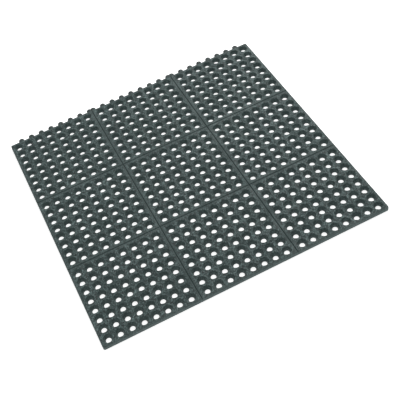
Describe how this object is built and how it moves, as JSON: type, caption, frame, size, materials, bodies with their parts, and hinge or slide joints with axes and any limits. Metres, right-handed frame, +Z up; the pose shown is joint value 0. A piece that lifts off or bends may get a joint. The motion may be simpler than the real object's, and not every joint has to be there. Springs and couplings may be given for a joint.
{
  "type": "rubber floor tile",
  "caption": "Square perforated rubber floor tile: grooved sections of round tapered drain holes, with a row of connector knobs along one edge.",
  "frame": {"origin": "middle of the square mat on its underside, between four drain holes", "axes": "+Z up through the thickness, +Y towards the edge with the connector knobs, +X to the right along that edge"},
  "size_m": [0.9096, 0.9276, 0.0127],
  "materials": {
    "rubber": "matt moulded, fine grain"
  },
  "bodies": {
    "root": {"front_row": "rubber", "middle_row": "rubber", "connector_row": "rubber"}
  },
  "joints": []
}
